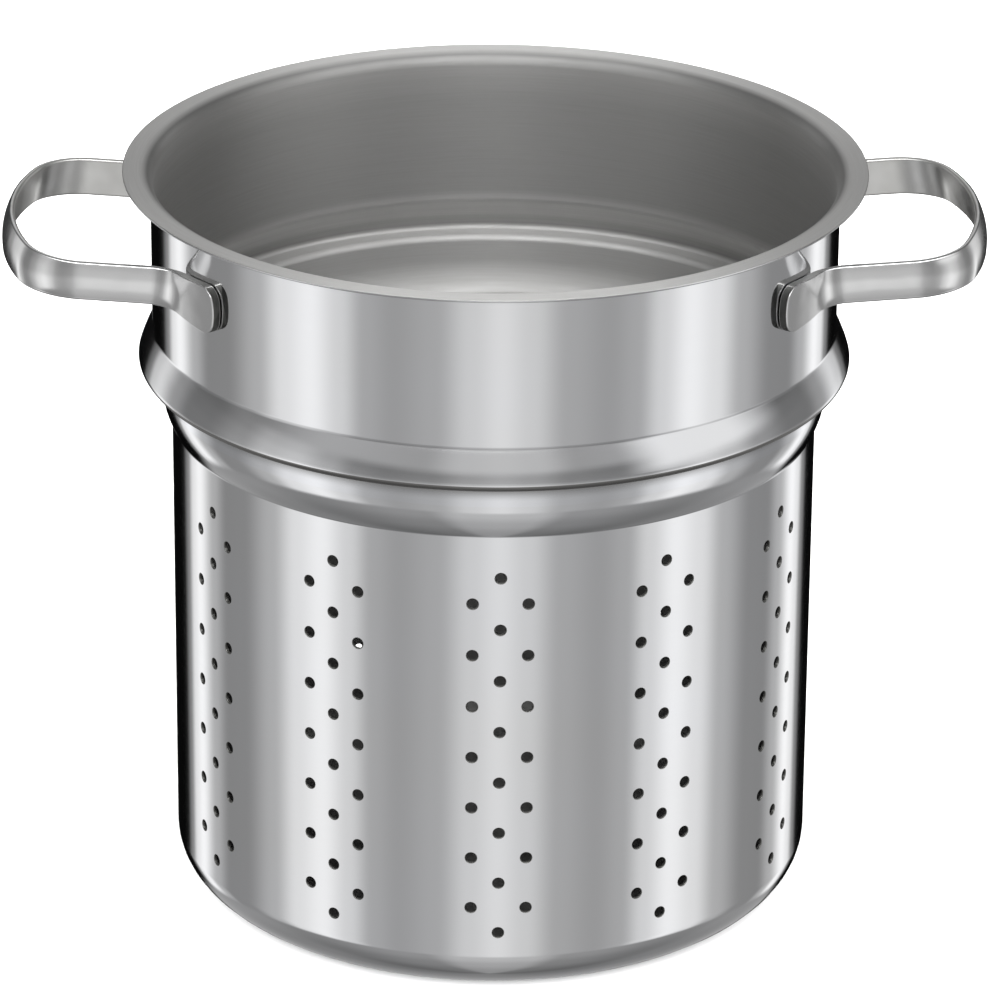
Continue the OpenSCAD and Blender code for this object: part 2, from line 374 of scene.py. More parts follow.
def hole_patch(sheet):
    """A patch of the wall with one punched hole, at angle 0 and height 0."""
    h, t = sheet.h, sheet.s.sheet
    bm = bmesh.new()
    facing = bm.verts.layers.float_vector.new("section_normal")
    hole_r = h.hole_d / 2
    across = Matrix.Rotation(math.pi / 2, 4, "Y")
    rings = []
    for r, radius, side, index in ((sheet.wall_r, hole_r + h.edge_r, 1, POLISHED),
                                   (sheet.wall_r - t, hole_r, -1, SATIN)):
        # The patch takes the place of three columns
        low, high = ([bm.verts.new((r * math.cos(k * COLUMN), r * math.sin(k * COLUMN), z))
                      for k in (-1.5, -0.5, 0.5, 1.5)] for z in (-h.cell_h / 2, h.cell_h / 2))
        loop = low + high[::-1]
        edges = add_edges(bm, loop + loop[:1])
        ring, ring_edges = ring_of(bm, radius, Matrix.Translation((r, 0, 0)) @ across)
        for v in ring:
            v.co.x = math.sqrt(r * r - v.co.y ** 2)
        for v in loop + ring:
            v[facing] = (side, 0, 0)
        made = bmesh.ops.bridge_loops(bm, edges=edges + ring_edges)
        for face in made["faces"]:
            face.material_index = index
        rings.append(ring_edges)
    faces_before = set(bm.faces)
    edges, inner_edges = rings
    radius, depth = hole_r + h.edge_r, 0
    for share in EDGE_SHARES:
        a = share * math.pi / 2
        new_radius = hole_r + h.edge_r * (1 - math.sin(a))
        new_depth = h.edge_r * (1 - math.cos(a))
        verts, edges = extrude_ring(bm, edges)
        scale = new_radius / radius
        bmesh.ops.scale(bm, vec=(1, scale, scale), verts=verts)
        bmesh.ops.translate(bm, vec=(depth - new_depth, 0, 0), verts=verts)
        radius, depth = new_radius, new_depth
    bmesh.ops.bridge_loops(bm, edges=edges + inner_edges)
    for face in set(bm.faces) - faces_before:
        face.material_index = CUT
    return bm


def wall_patches(sheet):
    """All patches of the wall, copied up each line of a group, and the group round the wall."""
    bm = hole_patch(sheet)
    first = list(bm.faces)
    for i, z in enumerate(sheet.hole_rows()):
        for turn in lines_of_row(i):
            verts = only(bmesh.types.BMVert, copy_of(bm, first))
            bmesh.ops.translate(bm, verts=verts, vec=(0, 0, z))
            bmesh.ops.rotate(bm, verts=verts, matrix=Matrix.Rotation(turn, 3, "Z"))
    bmesh.ops.delete(bm, geom=first, context="FACES")
    groups = sheet.h.groups
    bmesh.ops.spin(bm, geom=bm.verts[:] + bm.edges[:] + bm.faces[:], axis=(0, 0, 1),
                   angle=math.tau * (groups - 1) / groups, steps=groups - 1, use_merge=False,
                   use_duplicate=True)
    return bm


def base_places(sheet):
    """Where the holes of the base are: one in the middle, and rings of six, twelve and so on."""
    h = sheet.h
    pitch = (sheet.wall_r - sheet.s.corner_r - h.base_margin) / h.base_rings
    places = [(0, 0)]
    for ring in range(1, h.base_rings + 1):
        count = 6 * ring
        for i in range(count):
            a = math.tau * i / count
            places.append((ring * pitch * math.cos(a), ring * pitch * math.sin(a)))
    return places


def fill_base(bm, sheet):
    """The two faces of the base with its holes, between the ends of the spun section."""
    h, t = sheet.h, sheet.s.sheet
    facing = bm.verts.layers.float_vector["section_normal"]
    hole_r = h.hole_d / 2
    open_edges = [e for e in bm.edges if e.is_boundary]
    places = base_places(sheet)
    sides = []
    for z, radius, side, index in ((0, hole_r + h.edge_r, -1, POLISHED), (t, hole_r, 1, SATIN)):
        border = [e for e in open_edges if all(abs(v.co.z - z) < MERGE for v in e.verts)]
        holes = []
        for x, y in places:
            ring, edges = ring_of(bm, radius, Matrix.Translation((x, y, z)))
            for v in ring:
                v[facing] = (0, side, 0)
            holes.append(edges)
        made = bmesh.ops.triangle_fill(bm, edges=border + sum(holes, []), use_beauty=True,
                                       use_dissolve=False, normal=(0, 0, side))
        for face in only(bmesh.types.BMFace, made["geom"]):
            face.material_index = index
        sides.append(holes)
    faces_before = set(bm.faces)
    scale = hole_r / (hole_r + h.edge_r)
    for (x, y), low, high in zip(places, *sides):
        verts, edges = extrude_ring(bm, low)
        bmesh.ops.scale(bm, vec=(scale, scale, 1), space=Matrix.Translation((-x, -y, 0)),
                        verts=verts)
        bmesh.ops.translate(bm, vec=(0, 0, h.edge_r), verts=verts)
        bmesh.ops.bridge_loops(bm, edges=edges + high)
    for face in set(bm.faces) - faces_before:
        face.material_index = CUT


def section_normals(mesh):
    """Gives each corner of the sheet the true normal of its section, so that a polished wall
    reflects without facets. The walls of the holes keep Blender's normals."""
    stored = mesh.attributes["section_normal"].data
    found = [None] * len(mesh.loops)
    for polygon in mesh.polygons:
        if polygon.material_index == CUT:
            continue
        for i in polygon.loop_indices:
            v = mesh.loops[i].vertex_index
            nr, nz, _ = stored[v].vector
            x, y, _ = mesh.vertices[v].co
            r = math.hypot(x, y) or 1
            found[i] = (nr * x / r, nr * y / r, nz)
    return found


def build_body(sheet, materials):
    """The spun sheet, with patches for its wall's drain holes and with its base filled in."""
    bm = bmesh.new()
    spin_sheet(bm, sheet)
    cells = [f for f in bm.faces if is_cell(sheet, f)]
    bmesh.ops.delete(bm, geom=cells, context="FACES")
    fill_base(bm, sheet)
    patches = bpy.data.meshes.new("wall_patches")
    holes = wall_patches(sheet)
    holes.to_mesh(patches)
    holes.free()
    bm.from_mesh(patches)
    bpy.data.meshes.remove(patches)
    bmesh.ops.remove_doubles(bm, verts=bm.verts, dist=PATCH_MERGE)
    bmesh.ops.recalc_face_normals(bm, faces=bm.faces)
    for edge in bm.edges:
        kinds = {f.material_index for f in edge.link_faces}
        edge.smooth = kinds != {SATIN, CUT}
    return finish_piece(bm, "strainer_shell", materials, section_normals)


# Handles


# Steps in a rounded edge of the strap's section, across each of its broad faces, and round the
# edge of a foot's end
EDGE_STEPS = 6
FACE_STEPS = 16
END_STEPS = 3

# The corners of the section on its crowned outside and the two edges beside it, which are buffed
EDGE_CORNERS = EDGE_STEPS + 1
CROWN = range(EDGE_CORNERS, 3 * EDGE_CORNERS + FACE_STEPS - 1)

# Finishes of the strap's corners and faces. A face has the finish that all its corners have, or
# else it is ground.
BUFFED, GROUND, SHEARED = 0, 1, 2


def smooth(u):
    """Goes from 0 to 1 with a soft start and a soft end."""
    return u * u * (3 - 2 * u)


class Strap:
    """The route and the section of a handle's strap, in the half with y above 0."""

    def __init__(self, sheet, g):
        self.g = g
        self.foot_r = sheet.collar_r + g.weld_gap
        self.bow_x = sheet.collar_r + g.grip_reach - g.grip_bow_r
        self.leg_y = g.leg_span / 2
        corner_y = self.leg_y - g.grip_corner_r
        corner_x = self.bow_x + math.sqrt((g.grip_bow_r - g.grip_corner_r) ** 2 - corner_y ** 2)
        self.corner = Vector((corner_x, corner_y))
        self.bow_end = math.atan2(corner_y, corner_x - self.bow_x)
        self.bend_r = g.foot_bend_r + g.strap_t
        bend_y = self.leg_y + self.bend_r
        bend_x = math.sqrt((self.foot_r + self.bend_r) ** 2 - bend_y ** 2)
        self.bend = Vector((bend_x, bend_y))
        self.foot_start = math.atan2(bend_y, bend_x)
        self.foot_end = self.foot_start + g.foot_l / self.foot_r

    def stations(self):
        """Points of the strap's inside face with the way out, the share of the bend that lies
        behind, the share of the foot and the share of the grip's tilt."""
        g = self.g
        right = math.pi / 2

        def shares(run):
            n = max(2, round(run / g.step))
            return [i / n for i in range(n)]

        def arc(start, end, radius):
            """Shares of an arc that lie behind, and the ways out there."""
            for share in shares(abs(end - start) * radius):
                a = start + (end - start) * share
                yield share, Vector((math.cos(a), math.sin(a)))

        bow = Vector((self.bow_x, 0))
        found = [(bow + g.grip_bow_r * way, way, 0, 0, 1)
                 for _, way in arc(0, self.bow_end, g.grip_bow_r)]
        found += [(self.corner + g.grip_corner_r * way, way, 0, 0, 1 - smooth(share))
                  for share, way in arc(self.bow_end, right, g.grip_corner_r)]
        run = self.corner.x - self.bend.x
        found += [(Vector((self.corner.x - run * share, self.leg_y)), Vector((0, 1)), 0, 0, 0)
                  for share in shares(run)]
        found += [(self.bend + self.bend_r * way, -way, share, 0, 0)
                  for share, way in arc(3 * right, 2 * right + self.foot_start, self.bend_r)]
        found += [(self.foot_r * way, way, 1, share, 0)
                  for share, way in arc(self.foot_start, self.foot_end, self.foot_r)]
        end = Vector((math.cos(self.foot_end), math.sin(self.foot_end)))
        found.append((self.foot_r * end, end, 1, 1, 0))
        return found

    def section(self, width, edge_t, crown, edge_r, inset=0):
        """The strap's section as offsets outward and upward, with rounded edges."""
        side = width / 2 - edge_r
        across = [math.cos(math.pi * i / FACE_STEPS) for i in range(1, FACE_STEPS)]

        def edge(out, up, start):
            return [(out + edge_r * math.cos(a), up + edge_r * math.sin(a))
                    for a in (start - math.pi / 2 * i / EDGE_STEPS for i in range(EDGE_CORNERS))]

        ring = edge(edge_r, side, math.pi) + edge(edge_t - edge_r, side, math.pi / 2)
        ring += [(edge_t + crown * (1 - v * v), v * side) for v in across]
        ring += edge(edge_t - edge_r, -side, 0) + edge(edge_r, -side, -math.pi / 2)
        ring += [(0, -v * side) for v in across]
        half_t = edge_t / 2
        return [(half_t + (x - half_t) * (1 - inset / half_t), y * (1 - inset * 2 / width))
                for x, y in ring]

    def ring(self, station, inset=0, ahead=0):
        """The strap's section at a station, turned, tapered and raised into place."""
        g = self.g
        point, way, bent, along, tilted = station
        flat = smooth(max(0, 2 * bent - 1))
        crown = g.strap_crown * (1 - flat)
        edge_r = g.strap_edge_r + (g.foot_edge_r - g.strap_edge_r) * smooth(bent)
        width = g.strap_w + (g.foot_w - g.strap_w) * smooth((bent + 2 * along) / 3)
        rise = g.grip_rise * (1 - smooth(bent))
        tilt = Matrix.Rotation(g.grip_tilt * tilted, 2)
        pivot = self.foot_r * math.cos(self.foot_start)
        placed = []
        for corner in self.section(width, g.strap_t - crown, crown, edge_r, inset):
            out, up = tilt @ Vector(corner)
            setback = g.foot_end_r - math.sqrt(g.foot_end_r ** 2 - up * up)
            past = max(0, abs(up) - g.foot_w / 2 + g.foot_corner_r)
            setback += g.foot_corner_r - math.sqrt(max(0, g.foot_corner_r ** 2 - past ** 2))
            turn = (ahead - along * setback) / self.foot_r
            plan = point + out * way
            plan.rotate(Matrix.Rotation(turn, 2))
            x = plan.x - pivot
            placed.append(Vector((x * math.cos(rise) - up * math.sin(rise) + pivot, plan.y,
                                  x * math.sin(rise) + up * math.cos(rise) + g.foot_h)))
        return placed


def build_handle(strap, name, side, materials):
    """Half a strap is extruded from its middle to its foot, then mirrored to the other half."""
    *stations, last = strap.stations()
    edge_r = strap.g.foot_edge_r
    rings = [strap.ring(station) for station in stations]
    for i in range(END_STEPS + 1):
        a = math.pi / 2 * i / END_STEPS
        rings.append(strap.ring(last, inset=edge_r * (1 - math.cos(a)),
                                ahead=-edge_r * (1 - math.sin(a))))
    bm = bmesh.new()
    kind = bm.verts.layers.int.new("kind")
    verts = [bm.verts.new(p) for p in rings[0]]
    for i, v in enumerate(verts):
        v[kind] = BUFFED if i in CROWN else GROUND
    edges = add_edges(bm, verts + verts[:1])
    for ring in rings[1:]:
        order = {v: i for i, v in enumerate(verts)}
        made, edges = extrude_ring(bm, edges)
        # A new vertex takes the number of the old one that an edge joins it to
        verts = sorted(made, key=lambda v: next(order[o] for e in v.link_edges
                                                for o in e.verts if o in order))
        for i, (v, place) in enumerate(zip(verts, ring)):
            v.co = place
            v[kind] = SHEARED if ring is rings[-1] else BUFFED if i in CROWN else GROUND
    bmesh.ops.contextual_create(bm, geom=edges)
    bmesh.ops.mirror(bm, geom=bm.verts[:] + bm.edges[:] + bm.faces[:], matrix=Matrix(),
                     merge_dist=MERGE, axis="Y")
    if side < 0:
        bmesh.ops.scale(bm, vec=(-1, 1, 1), verts=bm.verts)
    bmesh.ops.remove_doubles(bm, verts=bm.verts, dist=MERGE)
    bmesh.ops.recalc_face_normals(bm, faces=bm.faces)
    for face in bm.faces:
        kinds = {v[kind] for v in face.verts}
        face.material_index = kinds.pop() if len(kinds) == 1 else GROUND
    return finish_piece(bm, name, materials)


# Materials


# Noise lies mostly between these two values
NOISE = {"From Min": 0.3, "From Max": 0.7}

# How deep fine lines are drawn, in metres
LINE_DEPTH = 0.0002

# The circle that the length of lines round the pot is measured on, as its radius in mm
POT_RADIUS = 120


def linear(colour):
    """An sRGB hex colour as linear RGBA."""
    values = [int(colour[i:i + 2], 16) / 255 for i in (1, 3, 5)]
    return tuple(v / 12.92 if v <= 0.04045 else ((v + 0.055) / 1.055) ** 2.4 for v in values) + (1,)


def add(tree, kind, inputs=None, stops=(), **settings):
    """Adds a node with its settings, and sets or links its inputs. A node as an input stands for
    its first output in use. Stops are those of a colour ramp, as places and sRGB greys."""
    made = tree.nodes.new(kind)
    for key, value in settings.items():
        setattr(made, key, value)
    for key, value in (inputs or {}).items():
        if isinstance(value, bpy.types.Node):
            value = next(socket for socket in value.outputs if socket.enabled)
        if isinstance(value, bpy.types.NodeSocket):
            tree.links.new(value, made.inputs[key])
        else:
            made.inputs[key].default_value = value
    if stops:
        ramp = made.color_ramp
        ramp.interpolation = "EASE"
        ramp.elements.remove(ramp.elements[1])
        ramp.elements[0].position = stops[0][0]
        for place, _ in stops[1:]:
            ramp.elements.new(place)
        for element, (_, value) in zip(ramp.elements, stops):
            element.color = grey(value)
    return made


def grey(value):
    """An sRGB grey from 0 to 255 as linear RGBA."""
    return linear("#" + f"{value:02x}" * 3)


def new_material(name):
    """A material without nodes, and its node tree."""
    material = bpy.data.materials.new(name)
    material.use_nodes = True
    material.node_tree.nodes.clear()
    return material, material.node_tree


def round_the_pot(tree, across_mm, along_mm):
    """Coordinates that run round the axis: lines across_mm apart in radius and height, and about
    along_mm long round the pot."""
    place = add(tree, "ShaderNodeTexCoord").outputs["Object"]
    xyz = add(tree, "ShaderNodeSeparateXYZ", {0: place})
    plan = add(tree, "ShaderNodeCombineXYZ", {"X": xyz.outputs["X"], "Y": xyz.outputs["Y"]})
    radius = add(tree, "ShaderNodeVectorMath", {0: plan}, operation="LENGTH")
    way = add(tree, "ShaderNodeVectorMath", {0: plan}, operation="NORMALIZE")
    around = add(tree, "ShaderNodeVectorMath", {0: way, "Scale": POT_RADIUS / along_mm},
                 operation="SCALE")
    height = add(tree, "ShaderNodeMath", {0: xyz.outputs["Z"], 1: radius}, operation="SUBTRACT")
    lines = add(tree, "ShaderNodeMath", {0: height, 1: 1000 / across_mm}, operation="MULTIPLY")
    up = add(tree, "ShaderNodeCombineXYZ", {"Z": lines})
    return add(tree, "ShaderNodeVectorMath", {0: around, 1: up}, operation="ADD")


def polished_steel(finish):
    """18/10 stainless, spun, then buffed to a mirror. The eye sees clean reflections with a trace
    of drag round the pot and a slow wander in tint where the mop dwelt."""
    material, tree = new_material("polished_18_10_steel")
    place = add(tree, "ShaderNodeTexCoord").outputs["Object"]
    # The mop's passes wander over about 60 mm
    wander = add(tree, "ShaderNodeTexNoise", {"Vector": place, "Scale": 16, "Detail": 2})
    tint = add(tree, "ShaderNodeMix", {0: wander, "A": linear(finish.polished),
                                       "B": linear(finish.polished_warm)}, data_type="RGBA")
    # Buffing lines are under 0.1 mm apart, drawn at 0.7 mm so that they show
    lines = add(tree, "ShaderNodeTexNoise", {"Vector": round_the_pot(tree, 0.7, 40), "Scale": 1,
                                             "Detail": 3})
    rough = add(tree, "ShaderNodeMapRange",
                {"Value": lines, **NOISE, "To Min": 0.06, "To Max": 0.10})
    bump = add(tree, "ShaderNodeBump", {"Height": lines, "Strength": 0.012, "Distance": LINE_DEPTH})
    shader = add(tree, "ShaderNodeBsdfPrincipled",
                 {"Base Color": tint, "Metallic": 1.0, "Roughness": rough, "Normal": bump})
    add(tree, "ShaderNodeOutputMaterial", {"Surface": shader})
    return material


# Painted shade and highlights on the inside, as heights in mm and sRGB greys: painted shade darkens
# it towards the bottom, a painted dark band lies at the bead, a painted highlight at the crease,
# the collar is a little lighter towards the rim, a painted dark line lies just under the rim's top
# and the flat top has a painted highlight.
RIM_TOP = 268.5
SHADE_AND_HIGHLIGHT_BY_HEIGHT = (
    (80, 113), (165, 209), (198.5, 209), (200, 156), (202, 172), (206, 212), (209.5, 230),
    (212.5, 196), (215, 177), (250, 178), (258, 186), (263, 194), (266, 184), (267.3, 174),
    (267.8, 138), (268.3, 224),
)


def satin_steel(finish):
    """18/10 stainless, given a brush finish round the pot while it turns. The eye sees soft grey
    sheets of light that stretch up and down, over fine lines that run round. Its colour carries
    painted shade and painted highlights by height."""
    material, tree = new_material("satin_18_10_steel")
    # Brush lines are about 0.15 mm apart, drawn at 0.5 mm so that they show
    lines = add(tree, "ShaderNodeTexNoise", {"Vector": round_the_pot(tree, 0.5, 25), "Scale": 1,
                                             "Detail": 4, "Roughness": 0.6})
    streaks = add(tree, "ShaderNodeMix", {0: lines, "A": linear(finish.satin),
                                          "B": linear(finish.satin_dark)}, data_type="RGBA")
    place = add(tree, "ShaderNodeTexCoord").outputs["Object"]
    xyz = add(tree, "ShaderNodeSeparateXYZ", {0: place})
    height = add(tree, "ShaderNodeMapRange",
                 {"Value": xyz.outputs["Z"], "From Max": RIM_TOP / 1000})
    # Painted shade and painted highlights by height, multiplied into the brush lines' colour
    painted_by_height = add(tree, "ShaderNodeValToRGB", {0: height},
                  stops=[(z / RIM_TOP, value) for z, value in SHADE_AND_HIGHLIGHT_BY_HEIGHT])
    steel = add(tree, "ShaderNodeMix", {0: 1.0, "A": painted_by_height, "B": streaks},
                data_type="RGBA", blend_type="MULTIPLY")
    rough = add(tree, "ShaderNodeMapRange",
                {"Value": lines, **NOISE, "To Min": 0.44, "To Max": 0.54})
    bump = add(tree, "ShaderNodeBump", {"Height": lines, "Strength": 0.04, "Distance": LINE_DEPTH})
    across = add(tree, "ShaderNodeTangent", direction_type="RADIAL", axis="Z")
    shader = add(tree, "ShaderNodeBsdfPrincipled",
                 {"Base Color": steel, "Metallic": 1.0, "Roughness": rough,
                  "Normal": bump, "Tangent": across, "Anisotropic": 0.85,
                  "Anisotropic Rotation": 0.25})
    add(tree, "ShaderNodeOutputMaterial", {"Surface": shader})
    return material


# How much brighter the light streaks of a cut are than its dark ones
CUT_STREAK = 1.3


def cut_steel(finish):
    """Sheared steel in a punched hole or at a strap's end. The eye sees a dark, dull edge with
    short upright scores."""
    material, tree = new_material("sheared_steel")
    place = add(tree, "ShaderNodeTexCoord").outputs["Object"]
    # Shear marks are about 0.1 mm wide, drawn at 0.4 mm
    marks = add(tree, "ShaderNodeTexNoise", {"Vector": place, "Scale": 2500, "Detail": 2})
    rough = add(tree, "ShaderNodeMapRange", {"Value": marks, "To Min": 0.3, "To Max": 0.55})
    dark = linear(finish.cut)
    light = tuple(min(1, CUT_STREAK * c) for c in dark[:3]) + (1,)
    tint = add(tree, "ShaderNodeMix", {0: marks, "A": dark, "B": light}, data_type="RGBA")
    shader = add(tree, "ShaderNodeBsdfPrincipled",
                 {"Base Color": tint, "Metallic": 1.0, "Roughness": rough})
    add(tree, "ShaderNodeOutputMaterial", {"Surface": shader})
    return material


# The painted shade under the bead and the scuffs where a pot's rim rubs run from the ledge to about
# 6 mm down the neck. These are heights in metres.
SCUFF_AND_SHADE_END = 0.1905
SCUFF_AND_SHADE_START = 0.196


def scuffed_and_shaded_steel(finish):
    """18/10 stainless on the ledge and neck: a darker colour as painted shade under the bead, with
    dull scuffs where pots' rims rub. The eye sees a dull, darker ring that fades down the neck."""
    material, tree = new_material("scuffed_and_shaded_18_10_steel")
    # Scuffs run round the ledge, about 0.3 mm wide
    scuffs = add(tree, "ShaderNodeTexNoise", {"Vector": round_the_pot(tree, 0.3, 12), "Scale": 1,
                                              "Detail": 2})
    # The darker colour is painted shade under the bead
    scuffed_and_shaded_tint = add(tree, "ShaderNodeMix", {0: scuffs, "A": linear(finish.scuffed_and_shaded_ledge),
                                         "B": linear(finish.scuffed_and_shaded_ledge_dark)}, data_type="RGBA")
    place = add(tree, "ShaderNodeTexCoord").outputs["Object"]
    xyz = add(tree, "ShaderNodeSeparateXYZ", {0: place})
    reach = add(tree, "ShaderNodeMapRange",
                {"Value": xyz.outputs["Z"], "From Min": SCUFF_AND_SHADE_END, "From Max": SCUFF_AND_SHADE_START},
                interpolation_type="SMOOTHSTEP")
    tint = add(tree, "ShaderNodeMix", {0: reach, "A": linear(finish.polished), "B": scuffed_and_shaded_tint},
               data_type="RGBA")
    rough = add(tree, "ShaderNodeMapRange", {"Value": reach, "To Min": 0.08, "To Max": 0.35})
    shader = add(tree, "ShaderNodeBsdfPrincipled",
                 {"Base Color": tint, "Metallic": 1.0, "Roughness": rough})
    add(tree, "ShaderNodeOutputMaterial", {"Surface": shader})
    return material


def handle_steel(finish):
    """Rolled strap steel, polished by hand. The eye sees a bright crowned face with soft, slightly
    wavy reflections."""
    material, tree = new_material("polished_strap_steel")
    place = add(tree, "ShaderNodeTexCoord").outputs["Object"]
    # Hand polishing leaves waves about 12 mm long
    waves = add(tree, "ShaderNodeTexNoise", {"Vector": place, "Scale": 80, "Detail": 1})
    # Wheel marks are about 0.1 mm, drawn at 0.6 mm
    marks = add(tree, "ShaderNodeTexNoise", {"Vector": place, "Scale": 1600, "Detail": 2})
    rough = add(tree, "ShaderNodeMapRange", {"Value": marks, "To Min": 0.15, "To Max": 0.22})
    bump = add(tree, "ShaderNodeBump", {"Height": waves, "Strength": 0.25, "Distance": 0.001})
    tint = add(tree, "ShaderNodeMix", {0: waves, "A": linear(finish.handle),
                                       "B": linear(finish.polished_warm)}, data_type="RGBA")
    shader = add(tree, "ShaderNodeBsdfPrincipled",
                 {"Base Color": tint, "Metallic": 1.0, "Roughness": rough, "Normal": bump})
    add(tree, "ShaderNodeOutputMaterial", {"Surface": shader})
    return material


def ground_steel(finish):
    """Strap steel, ground on a belt: the inside faces and the edges. The eye sees a soft grey
    sheen with fine scores."""
    material, tree = new_material("ground_strap_steel")
    place = add(tree, "ShaderNodeTexCoord").outputs["Object"]
    # Belt scores are under 0.1 mm, drawn at 0.5 mm, and the belt's patches are about 8 mm
    scores = add(tree, "ShaderNodeTexNoise", {"Vector": place, "Scale": 2000, "Detail": 2})
    patches = add(tree, "ShaderNodeTexNoise", {"Vector": place, "Scale": 120, "Detail": 1})
    tint = add(tree, "ShaderNodeMix", {0: patches, "A": linear(finish.ground),
                                       "B": linear(finish.ground_dark)}, data_type="RGBA")
    rough = add(tree, "ShaderNodeMapRange",
                {"Value": patches, **NOISE, "To Min": 0.28, "To Max": 0.36})
    bump = add(tree, "ShaderNodeBump", {"Height": scores, "Strength": 0.04, "Distance": LINE_DEPTH})
    shader = add(tree, "ShaderNodeBsdfPrincipled",
                 {"Base Color": tint, "Metallic": 1.0, "Roughness": rough, "Normal": bump})
    add(tree, "ShaderNodeOutputMaterial", {"Surface": shader})
    return material


def weld_steel(finish):
    """Projection weld, wiped but not polished. The eye sees dull grey with a straw heat tint."""
    material, tree = new_material("wiped_weld")
    place = add(tree, "ShaderNodeTexCoord").outputs["Object"]
    # The tint changes over about 2 mm
    heat = add(tree, "ShaderNodeTexNoise", {"Vector": place, "Scale": 500, "Detail": 3})
    tint = add(tree, "ShaderNodeMix", {0: heat, "A": linear(finish.weld),
                                       "B": linear(finish.weld_tint)}, data_type="RGBA")
    rough = add(tree, "ShaderNodeMapRange", {"Value": heat, "To Min": 0.4, "To Max": 0.65})
    shader = add(tree, "ShaderNodeBsdfPrincipled",
                 {"Base Color": tint, "Metallic": 1.0, "Roughness": rough})
    add(tree, "ShaderNodeOutputMaterial", {"Surface": shader})
    return material


# Stage


# The tent, as angles in degrees and brightness as sRGB greys. Angles round the object start near
# the camera's side, and angles of height are above the horizon. The strips stand round the object,
# the table lies below them, a dim gap runs above them, and a hood of soft light closes the top. A
# lamp behind the cloth brightens the right side, from low in the strips to the top of the gap.
STRIPS_ROUND = (
    (0, 222), (10, 206), (22, 168), (36, 156), (46, 168), (55, 212), (66, 244), (77, 226),
    (88, 176), (103, 135), (113, 133), (122, 175), (133, 250), (139, 228), (144, 130), (150, 20),
    (155, 6), (172, 6), (177, 120),
)
STRIPS_HEIGHT = ((-30, 255), (-16, 255), (-6, 220), (2, 216), (9, 204), (16, 188))
TABLE_ROUND = ((0, 186), (14, 182), (28, 146), (80, 128), (110, 142), (180, 160))
TABLE_HEIGHT = ((-90, 202), (-60, 228), (-40, 255))
GAP_ROUND = (
    (0, 190), (12, 184), (26, 152), (60, 164), (90, 120), (150, 60), (165, 160), (180, 196),
)
LAMP_ROUND = ((0, 0), (38, 0), (56, 255), (78, 255), (104, 0))
LAMP_GREY = 230
HOOD_ROUND = (
    (0, 255), (30, 234), (60, 200), (90, 106), (120, 20), (150, 30), (165, 80), (180, 110),
)
HOOD_HEIGHT = ((40, 255), (50, 255), (59, 130), (68, 60), (90, 50))

# The heights over which each part goes over into the next
STRIPS_START = (-38, -33)
LAMP_START = (4, 14)
GAP_START = (16, 23)
HOOD_START = (37, 44)

# How strong the tent is in polished steel, how much stronger its hood is, and the even light
# that the floor and all dull surfaces get
GLOSS_LIGHT = 1.3
HOOD_LIGHT = 4.9
FLOOR_LIGHT = 3

# How far the tent is turned round from the front
TENT_TURN = math.radians(1.1)


def round_stops(stops):
    """The stops of a ramp for angles round the object, the same on both sides."""
    return [(angle / 180, value) for angle, value in stops]


def height_stops(stops):
    """The stops of a ramp for angles of height, which runs evenly in their sine."""
    return [((math.sin(math.radians(angle)) + 1) / 2, value) for angle, value in stops]


